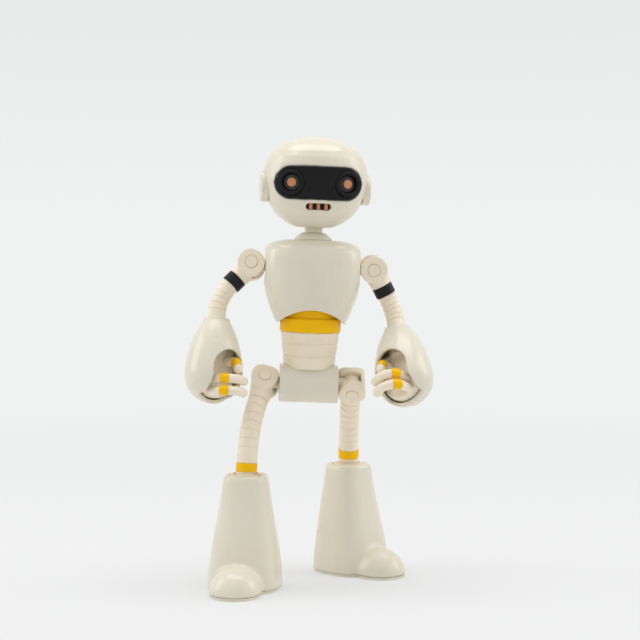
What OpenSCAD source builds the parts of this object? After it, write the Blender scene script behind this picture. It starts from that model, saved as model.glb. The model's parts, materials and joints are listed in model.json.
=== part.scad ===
// A posable toy robot, about 138 mm tall, standing with one foot forward and one foot back.
// Millimetres. +X is to the right of someone facing the robot, -Y is the way it faces, +Z is up.
// The origin is on the floor, under the middle of the figure's outline.
// "right" and "left" are the robot's own: its right side is at -X.

/* [Stance] */
// Lean of the rear leg's upper tube from upright, in degrees
rear_lean = 42; // [30:1:50]
// Sideways lean of the whole body, in degrees
body_roll = 2; // [0:0.5:4]
// Turn of the whole body, in degrees
body_yaw = 2.5; // [-10:0.5:10]
// Turn of the head on the neck, in degrees
head_turn = 4; // [-15:1:15]
// Direction of each leg's lean, in degrees: right leg, then left leg
lean_heading = [153, 3]; // [0:1:360]
// Turn of each boot, in degrees: right boot, then left boot
toe_turn = [-11, 46]; // [-50:1:50]
// Forward or backward swing of each arm, in degrees
arm_swing = [-14, 4]; // [-60:1:60]
// Sideways raise of each arm, in degrees
arm_raise = [43, 29]; // [20:1:60]
// Twist of each bent arm tube about its upper end, in degrees
arm_twist = [0, 65]; // [-40:1:90]
// Turn of each gauntlet about the lower end of its arm tube, in degrees
hand_turn = [42, 96]; // [-40:1:120]

/* [Head] */
// Half width of the head shell at its widest
head_w = 16; // [14:0.5:18]
// Half depth of the head shell at its deepest
head_d = 13.6; // [12:0.2:15]
// Height of the head shell
head_h = 27.8; // [26:0.2:32]
// Wall of the head shell
head_wall = 1.5; // [1.2:0.1:2]
// Height of the visor's middle above the chin
visor_z = 13.2; // [12:0.2:15]
// Distance from the visor's ends to the head's widest sides
visor_margin = 2.8; // [2:0.2:4]
// Half height of the visor
visor_h = 4.9; // [4:0.1:5.5]
// How far the visor stands out of the head
visor_raise = 0.5; // [0.3:0.1:1]
// Distance from each eye ring to the visor's end
eye_margin = 0.8; // [0.6:0.1:1.5]
// Outward tilt of each eye, in degrees
eye_tilt = 13; // [0:1:20]
// Outer radius of an eye ring
eye_ring_r = 3.9; // [3:0.1:4.4]
// Radius of an eye lens
eye_lens_r = 2.7; // [2:0.1:3]
// Height of the mouth slot's middle above the chin
mouth_z = 6.2; // [5.5:0.1:7.2]
// Length of the mouth slot
mouth_w = 7.6; // [6:0.2:9]
// Height of the mouth slot
mouth_h = 1.9; // [1.4:0.1:2.4]
// Bars in the mouth slot
mouth_bars_n = 3; // [3:1:5]
// Height of the ear caps' middle above the chin
ear_z = 12; // [11:0.2:14]
// Radius of an ear cap
ear_r = 4.7; // [4:0.1:5.5]
// How far an ear cap stands out of the head
ear_out = 0.9; // [0.5:0.1:2]

/* [Torso] */
// Half width of the chest at its widest
chest_w = 15.3; // [14.6:0.1:16]
// Half depth of the chest at its deepest
chest_d = 12.4; // [12:0.1:14]
// Wall of the chest shells
chest_wall = 1.6; // [1.2:0.1:2]
// Height of the chest from its lower corners to its top
chest_h = 25.8; // [25:0.2:28]
// Visible height of the waist ring below the chest's corners
ring_show = 2.4; // [1.5:0.1:4]
// Radius of the waist ring
ring_r = 9.4; // [8.8:0.1:9.5]
// Height of the waist ring's full-width band
ring_h = 4.3; // [3.5:0.1:4.6]
// Height of the abdomen above the pelvis block
abdomen_h = 10.2; // [9:0.2:14]
// Radius of the abdomen at the top
abdomen_top_r = 9; // [8.4:0.1:9.4]
// Radius of the abdomen at the bottom
abdomen_low_r = 7.8; // [7:0.1:8.4]
// Segments of the abdomen
abdomen_n = 3; // [2:1:5]
// Half width of the pelvis block
pelvis_w = 9; // [8:0.1:10]
// Half depth of the pelvis block
pelvis_d = 7.2; // [6.5:0.1:8]
// Half height of the pelvis block
pelvis_h = 5.7; // [5.4:0.1:6.5]
// Rounding of the pelvis block's long edges
pelvis_round = 3.8; // [2.5:0.1:5]

/* [Neck] */
// Radius of the neck post
neck_r = 2.7; // [2.3:0.1:2.8]
// Radius of the neck ball
neck_ball_r = 3.3; // [3.1:0.1:3.5]
// Length of neck seen between the collar and the chin
neck_show = 1.6; // [1.2:0.1:4]
// Radius of the collar on top of the chest
collar_r = 6; // [5:0.1:6.4]
// Height of the collar
collar_h = 2.2; // [1.5:0.1:3]

/* [Limb joints] */
// Radius of a knuckle about its pin
knuckle_r = 4.2; // [4:0.1:4.5]
// Radius of a knuckle about its peg
knuckle_round = 5.2; // [5:0.1:5.5]
// Half thickness of a knuckle along its pin
knuckle_t = 4.6; // [4.2:0.1:5]
// Radius of a knuckle pin
pin_r = 1.8; // [1.4:0.1:1.9]
// Radius of a peg's shaft and of its neck
peg_r = 2; // [1.8:0.05:2.1]
// Radius of a peg's eye about the pin
peg_eye_r = 2.6; // [2.4:0.1:2.8]
// Thickness of a peg's eye
peg_eye_t = 3.2; // [2.6:0.1:3.6]
// Radius of a peg's retaining head
peg_head_r = 2.6; // [2.4:0.1:2.9]
// Running clearance of a turning fit, on the radius
fit = 0.05; // [0.03:0.01:0.08]
// Gap between faces that move past each other
gap = 0.2; // [0.15:0.05:0.3]

/* [Arms] */
// Height of the shoulder pivots above the pelvis's middle
shoulder_z = 35.8; // [34:0.1:38]
// Length of the upper arm from its pin to the twist seam
upper_arm_l = 9; // [7.5:0.1:10]
// Radius of the black arm band
arm_band_r = 3.15; // [2.9:0.05:3.4]
// Height of the black arm band
arm_band_h = 3; // [2:0.1:3.5]
// Radius of the arm tube
arm_tube_r = 2.75; // [2.4:0.05:2.9]
// Bend of the arm tube, in degrees
arm_bend = 42; // [20:1:60]
// Length of the arm tube's bent part
arm_bend_l = 10.5; // [8:0.5:14]
// Ribs on the arm tube
arm_ribs = 6; // [3:1:9]
// Length of a gauntlet
gauntlet_l = 26; // [24:0.5:30]
// Radius of a gauntlet at its widest
gauntlet_r = 8.8; // [8.4:0.1:10]
// Radius of a gauntlet where it meets the arm tube
gauntlet_top_r = 3.6; // [3.3:0.1:4]
// Wall of a gauntlet
gauntlet_wall = 1.2; // [1:0.1:1.4]
// Radius of a finger
finger_r = 1.4; // [1.1:0.05:1.5]
// How far a yellow finger ring stands out of its finger
finger_ring_out = 0.12; // [0.1:0.02:0.2]

/* [Legs] */
// Length of the thigh knuckle from its pin to the twist seam
thigh_l = 7; // [6.5:0.1:8.5]
// Radius of the leg tube
leg_tube_r = 3.1; // [2.9:0.05:3.3]
// Bend of the leg tube, in degrees
leg_bend = 30; // [10:1:35]
// Length of the leg tube's bent part
leg_bend_l = 17.5; // [14:0.5:22]
// Ribs on the leg tube
leg_ribs = 7; // [4:1:10]
// Length of the leg tube below its bent part, down to the ankle pin
shin_l = 6.5; // [6:0.1:9]
// Height of the yellow leg band
leg_band_h = 2.6; // [2:0.1:3]
// Height of each yellow leg band above its ankle pin: right leg, then left leg
leg_band_z = [1.5, 2.9]; // [1.4:0.1:3.2]
// How far the yellow leg band stands out of the tube
leg_band_out = 0.15; // [0.1:0.05:0.3]
// Half width of a boot at the floor
boot_w = 11; // [10.5:0.1:12]
// Half depth of a boot at the floor
boot_d = 10.8; // [10.5:0.1:12.5]
// Height of a boot
boot_h = 34.2; // [33:0.2:40]
// Half width of a boot at its top edge
boot_top_w = 6; // [5.7:0.1:6.4]
// Wall of a boot
boot_wall = 1.3; // [1.1:0.1:1.8]
// Radius of a toe cap
toe_r = 8; // [7.4:0.1:8.6]
// Distance of a toe cap's middle in front of the ankle
toe_y = 13.8; // [11:0.2:14.4]
// Thickness of a sole
sole_t = 0.8; // [0.6:0.1:1.6]
// Radius of an ankle cup
cup_r = 5; // [4.9:0.05:5.1]
// Radius of an ankle pin and of the neck pin
small_pin_r = 0.8; // [0.6:0.05:0.9]

/* [Hidden] */
$fn = 64;

IVORY = "#efece2";
CREAM = "#ece0d2";
YELLOW = "#f4b800";
BLACK = "#1c1b1d";
TAN = "#c98f6a";
GREY = "#b9b6ae";

// Place of the figure's outline over the origin
figure_shift = [-0.17, 3.4];

// ---- matrices: a place, and turns about each axis ----
function at(v) = [[1, 0, 0, v[0]], [0, 1, 0, v[1]], [0, 0, 1, v[2]], [0, 0, 0, 1]];
function turn_x(a) = [[1, 0, 0, 0], [0, cos(a), -sin(a), 0], [0, sin(a), cos(a), 0], [0, 0, 0, 1]];
function turn_y(a) = [[cos(a), 0, sin(a), 0], [0, 1, 0, 0], [-sin(a), 0, cos(a), 0], [0, 0, 0, 1]];
function turn_z(a) = [[cos(a), -sin(a), 0, 0], [sin(a), cos(a), 0, 0], [0, 0, 1, 0], [0, 0, 0, 1]];
// The origin of a frame, and a direction of a frame in the world
function place(m) = [m[0][3], m[1][3], m[2][3]];
function heading(m, v) = [for (r = [0:2]) m[r][0] * v[0] + m[r][1] * v[1] + m[r][2] * v[2]];
// A world direction seen from a frame
function seen_from(m, v) = [for (c = [0:2]) m[0][c] * v[0] + m[1][c] * v[1] + m[2][c] * v[2]];

// ---- leg lengths: a straight part, a bent part and a straight part down to the ankle ----
leg_bend_radius = leg_bend_l / (leg_bend * PI / 180);
leg_a = thigh_l + leg_bend_radius * sin(leg_bend) + shin_l * cos(leg_bend);
leg_b = leg_bend_radius * (1 - cos(leg_bend)) + shin_l * sin(leg_bend);
leg_reach = norm([leg_a, leg_b]);
leg_tilt = atan2(leg_b, leg_a);
// Height that a leg spans when its upper tube leans by an angle, and the lean that spans a height
function leg_span(lean) = leg_reach * cos(lean - leg_tilt);
function lean_for(span) = leg_tilt + acos(span / leg_reach);

// ---- frames of the body ----
hip_x = pelvis_w + gap + knuckle_r;
cup_sink = 0.7;
ankle_z = boot_h - cup_sink;
pelvis_z = ankle_z + leg_span(rear_lean) + hip_x * sin(body_roll);
pelvis_m = at([figure_shift[0], figure_shift[1], pelvis_z]) * turn_z(body_yaw) * turn_y(body_roll);
waist_z = pelvis_h + abdomen_h;
chest_z = waist_z + ring_show;
collar_z = chest_z + chest_h;
chin_z = collar_z + collar_h + neck_show;
nod_z = 3;
neck_m = pelvis_m * turn_z(head_turn);
head_m = neck_m * at([0, 0, chin_z]);

// Gap at the seam where a tube turns under its knuckle, and where a gauntlet turns under its tube
seam_gap = 0.1;
// ---- frames of the limbs: index 0 is the right limb, 1 the left; side is -1 or 1 ----
function side(i) = i == 0 ? -1 : 1;
shoulder_face_x = chest_w - 0.95;
shoulder_x = shoulder_face_x + gap + knuckle_r;
arm_bend_radius = arm_bend_l / (arm_bend * PI / 180);
arm_cuff = 1.2;
function shoulder_m(i) = pelvis_m * at([side(i) * shoulder_x, 0, shoulder_z]) * turn_x(arm_swing[i]);
function upper_arm_m(i) = shoulder_m(i) * turn_y(-side(i) * arm_raise[i]);
function arm_m(i) = upper_arm_m(i) * turn_z(side(i) * arm_twist[i]);
// A tube's bend runs toward +X of its own frame, from a given depth
function bend_end(radius, bend, depth) =
    at([radius * (1 - cos(bend)), 0, -depth - radius * sin(bend)]) * turn_y(-bend);
function inward(i) = turn_z(i == 0 ? 0 : 180);
function wrist_m(i) = arm_m(i) * inward(i)
    * bend_end(arm_bend_radius, arm_bend, upper_arm_l) * at([0, 0, -arm_cuff]);
function hand_m(i) = wrist_m(i) * inward(i) * turn_z(-side(i) * hand_turn[i]);

function hip_place(i) = pelvis_m * at([side(i) * hip_x, 0, 0]);
function lean(i) = lean_for(place(hip_place(i))[2] - ankle_z);
function lean_way(i) = [-sin(lean_heading[i]), cos(lean_heading[i]), 0];
function leaning(i, a) = lean_way(i) * sin(a) - [0, 0, cos(a)];
function upper_way(i) = seen_from(pelvis_m, leaning(i, lean(i)));
function hip_swing(i) = atan2(upper_way(i)[1], -upper_way(i)[2]);
function hip_spread(i) = -asin(upper_way(i)[0]);
function hip_m(i) = hip_place(i) * turn_x(hip_swing(i));
function thigh_m(i) = hip_m(i) * turn_y(hip_spread(i));
function shin_way(i) = seen_from(thigh_m(i), leaning(i, lean(i) - leg_bend));
function leg_twist(i) = atan2(shin_way(i)[1], shin_way(i)[0]);
function leg_m(i) = thigh_m(i) * turn_z(leg_twist(i));
function shin_m(i) = leg_m(i) * bend_end(leg_bend_radius, leg_bend, thigh_l) * at([0, 0, -shin_l]);
function ankle_place(i) = place(shin_m(i));
function ankle_axis(i) = heading(shin_m(i), [0, 1, 0]);
function cup_m(i) = at(ankle_place(i)) * turn_z(atan2(-ankle_axis(i)[0], ankle_axis(i)[1]));
function boot_m(i) = at([ankle_place(i)[0], ankle_place(i)[1], 0]) * turn_z(toe_turn[i]);

// ---- lofts: rings of a rounded rectangle stacked along Z ----
function sgn_pow(v, p) = sign(v) * pow(abs(v), p);
// One ring from a station [z, half width, half depth, middle y], grown outward on all sides
function ring(st, grow, power, n) = [
    for (k = [0:n - 1])
        let (a = 360 * k / n)
        [(st[1] + grow) * sgn_pow(cos(a), 2 / power),
         st[3] + (st[2] + grow) * sgn_pow(sin(a), 2 / power),
         st[0]]
];
module loft(stations, grow, power, n) {
    rows = len(stations);
    points = [for (st = stations) each ring(st, grow, power, n)];
    sides = [
        for (r = [0:rows - 2], k = [0:n - 1])
            let (a = r * n + k, b = r * n + (k + 1) % n)
            each [[a, a + n, b], [b, a + n, b + n]]
    ];
    floor_face = [for (k = [0:n - 1]) k];
    top_face = [for (k = [n - 1:-1:0]) (rows - 1) * n + k];
    polyhedron(points, concat([floor_face], sides, [top_face]), convexity = 4);
}
// Stations blended smoothly through a few rows, with a number of steps between rows
function blend_row(rows, i, t) =
    let (last = len(rows) - 1,
         a = rows[max(i - 1, 0)], b = rows[i], c = rows[min(i + 1, last)], d = rows[min(i + 2, last)])
    [for (k = [0:3]) 0.5 * (2 * b[k] + (c[k] - a[k]) * t + (2 * a[k] - 5 * b[k] + 4 * c[k] - d[k]) * t * t
        + (3 * b[k] - a[k] - 3 * c[k] + d[k]) * t * t * t)];
function blend(rows, steps) = [
    for (i = [0:len(rows) - 2], s = [0:steps - 1]) blend_row(rows, i, s / steps),
    rows[len(rows) - 1]
];

HUGE = 140;
EPS = 0.01;
module front_half() { translate([-HUGE / 2, -HUGE, -HUGE / 2]) cube(HUGE); }
module rear_half() { translate([-HUGE / 2, 0, -HUGE / 2]) cube(HUGE); }
module along_x() { rotate([0, 90, 0]) children(); }
module along_y() { rotate([-90, 0, 0]) children(); }
module sided(i) { mirror([side(i) < 0 ? 1 : 0, 0, 0]) children(); }
// A slot outline with round ends, cut forward through the front of the head
module slot_prism(half_w, half_h, z) {
    translate([0, 0, z]) rotate([90, 0, 0]) linear_extrude(HUGE) {
        for (x = [-1, 1]) translate([x * (half_w - half_h), 0]) circle(half_h);
        square([2 * (half_w - half_h), 2 * half_h], center = true);
    }
}

// ---- head, in a frame with its origin at the middle of the chin ----
head_power = 2.2;
visor_w = head_w - visor_margin;
eye_x = visor_w - eye_ring_r - eye_margin;
head_rows = [
    [0, head_w * 0.33, head_d * 0.36, 0],
    [head_h * 0.035, head_w * 0.49, head_d * 0.52, 0],
    [head_h * 0.12, head_w * 0.70, head_d * 0.73, 0],
    [head_h * 0.25, head_w * 0.87, head_d * 0.89, 0],
    [head_h * 0.43, head_w * 0.985, head_d * 0.985, 0],
    [head_h * 0.60, head_w, head_d, 0],
    [head_h * 0.76, head_w * 0.92, head_d * 0.925, 0],
    [head_h * 0.885, head_w * 0.72, head_d * 0.735, 0],
    [head_h * 0.962, head_w * 0.45, head_d * 0.465, 0],
    [head_h * 0.99, head_w * 0.24, head_d * 0.25, 0],
    [head_h, head_w * 0.04, head_d * 0.04, 0]
];
head_stations = blend(head_rows, 2);
// The hollow inside: the same rows drawn in by the wall, stopping short of the chin and the crown
head_hollow_rows = [
    for (k = [1:len(head_rows) - 3])
        let (st = head_rows[k])
        [head_wall + st[0] * (head_h - 2 * head_wall) / head_h, st[1] - head_wall, st[2] - head_wall, 0]
];
module head_form(grow = 0) { loft(head_stations, grow, head_power, 40); }
module head_hollow() { loft(head_hollow_rows, 0, head_power, 32); }
// How far forward the head's face is at a height on its middle line
function head_front(z) = lookup(z, [for (st = head_stations) [st[0], st[2]]]);

socket_r = 4.9;
socket_top = nod_z + 6;
neck_open_r = neck_r + 1.1;
boss_wall = 1.2;
module eye_place(x) {
    surface = head_front(visor_z) * pow(1 - pow(eye_x / head_w, head_power), 1 / head_power);
    translate([x * eye_x, -surface - visor_raise, visor_z]) rotate([0, 0, x * eye_tilt]) rotate([90, 0, 0])
        children();
}
module ear_disc(i, r, inner, outer) {
    sided(i) translate([inner, 0, ear_z]) along_x() cylinder(r = r, h = outer - inner);
}
ear_in = head_w - 1.5;
module head_shell() {
    difference() {
        union() {
            difference() {
                head_form();
                head_hollow();
            }
            translate([0, 0, head_wall / 2]) cylinder(r = socket_r + boss_wall, h = socket_top - head_wall / 2);
        }
        translate([0, 0, -EPS]) cylinder(r = neck_open_r, h = nod_z);
        translate([0, 0, nod_z - 1.4]) cylinder(r = socket_r, h = socket_top - nod_z + 2);
        slot_prism(visor_w, visor_h, visor_z);
        slot_prism(mouth_w / 2, mouth_h / 2, mouth_z);
        for (i = [0, 1]) ear_disc(i, ear_r, ear_in, head_w + 2);
    }
}
module head_front_shell() {
    multmatrix(head_m) color(IVORY) intersection() {
        head_shell();
        front_half();
    }
}
module head_rear_shell() {
    multmatrix(head_m) color(IVORY) intersection() {
        head_shell();
        rear_half();
    }
}
visor_back = head_wall + 0.3;
module visor() {
    multmatrix(head_m) color(BLACK) difference() {
        intersection() {
            head_form(visor_raise);
            slot_prism(visor_w, visor_h, visor_z);
        }
        loft(head_rows, -visor_back, head_power, 32);
        for (x = [-1, 1]) eye_place(x) translate([0, 0, -HUGE / 2]) cylinder(r = eye_ring_r, h = HUGE);
    }
}
eye_depth = 2.4;
eye_proud = 0.6;
module eye_rings() {
    multmatrix(head_m) color(BLACK) for (x = [-1, 1]) eye_place(x) rotate_extrude() difference() {
        translate([eye_lens_r, -eye_depth]) square([eye_ring_r - eye_lens_r, eye_depth + eye_proud]);
        translate([eye_ring_r, eye_proud]) circle(0.35, $fn = 24);
        translate([eye_lens_r, eye_proud]) circle(0.3, $fn = 24);
    }
}
lens_crown = 0.5;
lens_crown_r = (eye_lens_r * eye_lens_r + lens_crown * lens_crown) / (2 * lens_crown);
module eye_lenses() {
    multmatrix(head_m) color(TAN) for (x = [-1, 1]) eye_place(x) rotate_extrude() intersection() {
        translate([0, -eye_depth]) square([eye_lens_r, eye_depth + lens_crown]);
        translate([0, lens_crown - 0.3 - lens_crown_r]) circle(lens_crown_r, $fn = 96);
    }
}
mouth_sink = 1.4;
mouth_y = head_front(mouth_z);
mouth_bar_r = 0.55;
module mouth_insert() {
    multmatrix(head_m) color(BLACK) difference() {
        intersection() {
            slot_prism(mouth_w / 2, mouth_h / 2, mouth_z);
            translate([-mouth_w, -mouth_y + mouth_sink, 0]) cube([2 * mouth_w, head_wall + 0.6, head_h]);
        }
    }
}
module mouth_bars() {
    pitch = (mouth_w - mouth_h - 2 * mouth_bar_r) / (mouth_bars_n - 1);
    bar_h = mouth_h - 0.1;
    multmatrix(head_m) color(TAN) for (k = [0:mouth_bars_n - 1])
        translate([(k - (mouth_bars_n - 1) / 2) * pitch, -mouth_y + mouth_sink - mouth_bar_r, mouth_z - bar_h / 2])
            cylinder(r = mouth_bar_r, h = bar_h, $fn = 32);
}
// An ear cap: a turned disc with a rounded rim and a dished middle
module ear_cap(i) {
    round_r = 0.7;
    height = head_w + ear_out - ear_in;
    multmatrix(head_m) color(IVORY) sided(i) translate([ear_in, 0, ear_z]) along_x() rotate_extrude()
        difference() {
            union() {
                square([ear_r, height - round_r]);
                square([ear_r - round_r, height]);
                translate([ear_r - round_r, height - round_r]) circle(round_r);
            }
            translate([0, height + 7.7]) circle(8.2, $fn = 96);
        }
}

// ---- ball hinge: a ball held in a cup by a pin along Y, used for the neck and the ankles ----
cup_rim = 1;
cup_floor = 1.4;
// The cup opens along +Z round a limb of radius limb_r that may tilt by tilt degrees
module ball_cup(outer_r, ball_r, limb_r, tilt, foot) {
    mouth_r = (limb_r + cup_rim * sin(tilt)) / cos(tilt) + 0.12;
    throat = 0.32 * ball_r;
    difference() {
        rotate_extrude() difference() {
            union() {
                translate([0, -ball_r - cup_floor]) square([outer_r, ball_r + cup_floor + cup_rim - 0.5]);
                translate([0, cup_rim - 0.5]) square([(mouth_r + outer_r) / 2, 0.5]);
                if (foot > 0) translate([0, -ball_r - cup_floor - foot]) square([peg_r, foot + 1]);
            }
            circle(ball_r + fit);
            polygon([[0, -throat], [sqrt(pow(ball_r + fit, 2) - throat * throat), -throat],
                     [mouth_r, cup_rim + EPS], [0, cup_rim + EPS]]);
        }
        along_y() cylinder(r = small_pin_r, h = HUGE, center = true, $fn = 32);
    }
}
module ball_pin(outer_r) {
    along_y() cylinder(r = small_pin_r, h = 2 * outer_r - 0.3, center = true, $fn = 32);
}
module ball_bore() { along_y() cylinder(r = small_pin_r + fit, h = HUGE, center = true, $fn = 32); }

// ---- neck ----
neck_nod_range = 14;
neck_head_r = 3;
neck_head_t = 1.4;
neck_drop = chest_wall + 0.9;
module neck_socket() {
    multmatrix(head_m * at([0, 0, nod_z])) color(CREAM) rotate([180, 0, 90])
        ball_cup(socket_r, neck_ball_r, neck_r, neck_nod_range, 0);
}
module neck_pin() { multmatrix(head_m * at([0, 0, nod_z])) color(GREY) rotate([0, 0, 90]) ball_pin(socket_r); }
module neck_post() {
    low = collar_z + collar_h;
    top = chin_z + nod_z;
    multmatrix(neck_m) color(CREAM) difference() {
        union() {
            translate([0, 0, top]) sphere(neck_ball_r);
            translate([0, 0, low + EPS * 5]) cylinder(r = neck_r, h = top - low - 1);
            translate([0, 0, collar_z - neck_drop]) cylinder(r = peg_r, h = neck_drop + collar_h + 1);
            translate([0, 0, collar_z - neck_drop - neck_head_t]) cylinder(r = neck_head_r, h = neck_head_t);
        }
        translate([0, 0, top]) rotate([0, 0, 90]) ball_bore();
    }
}
module neck_collar() {
    multmatrix(pelvis_m * at([0, 0, collar_z])) color(IVORY) rotate_extrude() difference() {
        intersection() {
            square([collar_r, collar_h]);
            translate([0, -collar_r * 0.72]) circle(norm([collar_r, collar_r * 0.72]), $fn = 96);
        }
        translate([-1, -1]) square([1 + peg_r + fit, collar_h + 2]);
    }
}

// ---- chest, in the pelvis frame ----
chest_power = 2.6;
chest_rows = [
    [chest_z, chest_w * 0.685, chest_d * 0.86, 0],
    [chest_z + chest_h * 0.17, chest_w * 0.82, chest_d * 0.93, 0],
    [chest_z + chest_h * 0.34, chest_w * 0.915, chest_d * 0.98, 0],
    [chest_z + chest_h * 0.53, chest_w * 0.98, chest_d, 0],
    [chest_z + chest_h * 0.72, chest_w, chest_d * 0.98, 0],
    [chest_z + chest_h * 0.86, chest_w * 0.98, chest_d * 0.91, 0],
    [chest_z + chest_h * 0.945, chest_w * 0.87, chest_d * 0.78, 0],
    [chest_z + chest_h * 0.985, chest_w * 0.67, chest_d * 0.64, 0],
    [chest_z + chest_h, chest_w * 0.45, chest_d * 0.52, 0]
];
ring_top = waist_z + ring_h;
hub_h = 2.7;
chest_floor = ring_top + hub_h + 0.35;
floor_t = 2;
chest_hollow_rows = [
    for (k = [1:len(chest_rows) - 2])
        let (st = chest_rows[k])
        [k == 1 ? chest_floor + floor_t : min(st[0], collar_z - chest_wall - (k == 7 ? 0 : 0.8)),
         st[1] - chest_wall, st[2] - chest_wall, 0]
];
arch_rise = 4.5;
arch_r = (pow(chest_w * 0.68, 2) + arch_rise * arch_rise) / (2 * arch_rise);
boss_in = shoulder_x - knuckle_r - gap - 3.8;
waist_peg_r = 2.5;
module chest_form() { loft(blend(chest_rows, 2), 0, chest_power, 40); }
module chest_shell() {
    difference() {
        union() {
            difference() {
                chest_form();
                loft(chest_hollow_rows, 0, chest_power, 32);
            }
            for (i = [0, 1]) sided(i) translate([boss_in, 0, shoulder_z]) along_x()
                cylinder(r = peg_r + 1.8, h = shoulder_face_x + 0.3 - boss_in);
        }
        translate([0, 0, chest_z - 1]) cylinder(r = ring_r + gap + 0.05, h = chest_floor - chest_z + 1);
        translate([0, 0, chest_floor - 1]) cylinder(r = waist_peg_r + fit, h = floor_t + 2);
        translate([0, 0, collar_z - chest_h / 3]) cylinder(r = peg_r + fit, h = chest_h);
        translate([0, 0, chest_z + arch_rise - arch_r]) along_y() cylinder(r = arch_r, h = HUGE, center = true);
        for (i = [0, 1]) sided(i) {
            translate([shoulder_face_x, 0, shoulder_z]) along_x() cylinder(r = knuckle_round + 0.45, h = chest_h);
            translate([boss_in - 1, 0, shoulder_z]) along_x() cylinder(r = peg_r + fit, h = chest_h);
        }
    }
}
module chest_front_shell() {
    multmatrix(pelvis_m) color(IVORY) intersection() {
        chest_shell();
        front_half();
    }
}
module chest_back_shell() {
    multmatrix(pelvis_m) color(IVORY) intersection() {
        chest_shell();
        rear_half();
    }
}

// ---- waist and pelvis, in the pelvis frame ----
waist_peg_low = 7;
waist_head_r = 3.8;
waist_head_t = 1.5;
module waist_ring() {
    bevel = 0.35;
    multmatrix(pelvis_m * at([0, 0, waist_z])) color(YELLOW) rotate_extrude()
        polygon([[waist_peg_r, 0], [ring_r - bevel, 0], [ring_r, bevel], [ring_r, ring_h - bevel],
                 [ring_r - bevel, ring_h], [ring_r - 0.8, ring_h], [ring_r - 0.8, ring_h + hub_h - bevel],
                 [ring_r - 0.8 - bevel, ring_h + hub_h], [waist_peg_r, ring_h + hub_h]]);
}
module waist_peg() {
    top = chest_floor + floor_t + gap;
    multmatrix(pelvis_m) color(CREAM) {
        translate([0, 0, waist_peg_low]) cylinder(r = waist_peg_r, h = top - waist_peg_low + 0.5);
        translate([0, 0, top]) cylinder(r = waist_head_r, h = waist_head_t);
    }
}
// The abdomen: turned segments with a narrow groove between each two, saddled on the pelvis block
module abdomen() {
    groove = 0.35;
    groove_d = 0.3;
    skirt = 1.2;
    total = abdomen_h + skirt;
    pitch = total / abdomen_n;
    function r_at(z) = abdomen_low_r + (abdomen_top_r - abdomen_low_r) * z / total;
    multmatrix(pelvis_m) color(CREAM) difference() {
        translate([0, 0, pelvis_h - skirt]) rotate_extrude() polygon([
            [0, 0],
            for (k = [0:abdomen_n - 1]) each [
                [r_at(k * pitch) - groove_d, k * pitch],
                [r_at(k * pitch) - groove_d, k * pitch + groove],
                [r_at(k * pitch), k * pitch + groove + groove_d / 2],
                [r_at((k + 1) * pitch), (k + 1) * pitch - groove_d / 2],
                [r_at((k + 1) * pitch) - groove_d, (k + 1) * pitch]
            ],
            [0, total]
        ]);
        pelvis_block(pelvis_w + 5);
        translate([0, 0, waist_peg_low]) cylinder(r = waist_peg_r, h = HUGE);
    }
}
module pelvis_block(half_w) {
    translate([-half_w, 0, 0]) rotate([90, 0, 90]) linear_extrude(2 * half_w) {
        square([2 * pelvis_d, 2 * (pelvis_h - pelvis_round)], center = true);
        square([2 * (pelvis_d - pelvis_round), 2 * pelvis_h], center = true);
        for (x = [-1, 1], y = [-1, 1])
            translate([x * (pelvis_d - pelvis_round), y * (pelvis_h - pelvis_round)]) circle(pelvis_round);
    }
}
hip_head_x = 2.8;
peg_head_t = 1.2;
module pelvis_shell() {
    difference() {
        pelvis_block(pelvis_w);
        for (i = [0, 1]) sided(i) {
            translate([hip_head_x + 1, 0, 0]) along_x() cylinder(r = peg_r + fit, h = 20);
            translate([hip_head_x - gap, 0, 0]) along_x() cylinder(r = peg_head_r + gap, h = peg_head_t + 2 * gap);
        }
    }
}
module pelvis_front_shell() {
    multmatrix(pelvis_m) color(IVORY) intersection() {
        pelvis_shell();
        front_half();
    }
}
module pelvis_rear_shell() {
    multmatrix(pelvis_m) color(IVORY) intersection() {
        pelvis_shell();
        rear_half();
    }
}

// ---- limb joints; the frame's origin is on the pin, the pin is along Y and the body is toward -X ----
module limb_peg(head_x) {
    difference() {
        union() {
            along_y() cylinder(r = peg_eye_r, h = peg_eye_t, center = true);
            intersection() {
                translate([-head_x, 0, 0]) along_x() cylinder(r = peg_r, h = head_x);
                translate([-knuckle_r - gap / 2, -peg_eye_t / 2, -HUGE / 2]) cube([HUGE, peg_eye_t, HUGE]);
            }
            translate([-head_x, 0, 0]) along_x() cylinder(r = peg_r, h = head_x - knuckle_r - gap / 2);
            translate([-head_x, 0, 0]) along_x() cylinder(r = peg_head_r, h = peg_head_t);
        }
        along_y() cylinder(r = pin_r + fit, h = HUGE, center = true);
    }
}
module limb_knuckle(length, seam_r, neck_r_top) {
    slot_t = peg_eye_t + 2 * 0.15;
    slot_r = peg_eye_r + gap;
    slot_z = peg_r + 0.75;
    difference() {
        union() {
            intersection() {
                along_y() cylinder(r = knuckle_r, h = 2 * knuckle_t, center = true);
                along_x() cylinder(r = knuckle_round, h = 4 * knuckle_r, center = true, $fn = 96);
            }
            translate([0, 0, -length]) rotate_extrude() polygon([
                [0, seam_gap], [seam_r, seam_gap], [neck_r_top, length - 1.2], [neck_r_top, length - 0.2], [0, length - 0.2]
            ]);
        }
        along_y() cylinder(r = pin_r, h = HUGE, center = true);
        for (y = [-1, 1]) translate([0, y * (knuckle_t - 0.25), 0]) rotate([-90 * y, 0, 0])
            cylinder(r1 = pin_r, r2 = pin_r + 0.35, h = 0.3);
        along_y() cylinder(r = slot_r, h = slot_t, center = true);
        translate([-2 * knuckle_r, -slot_t / 2, -slot_z]) cube([2 * knuckle_r + slot_z, slot_t, 3 * knuckle_r]);
        translate([0, 0, -length - 1]) cylinder(r = tube_peg_r + fit, h = length + 1 - slot_r - 0.5);
    }
}
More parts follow.
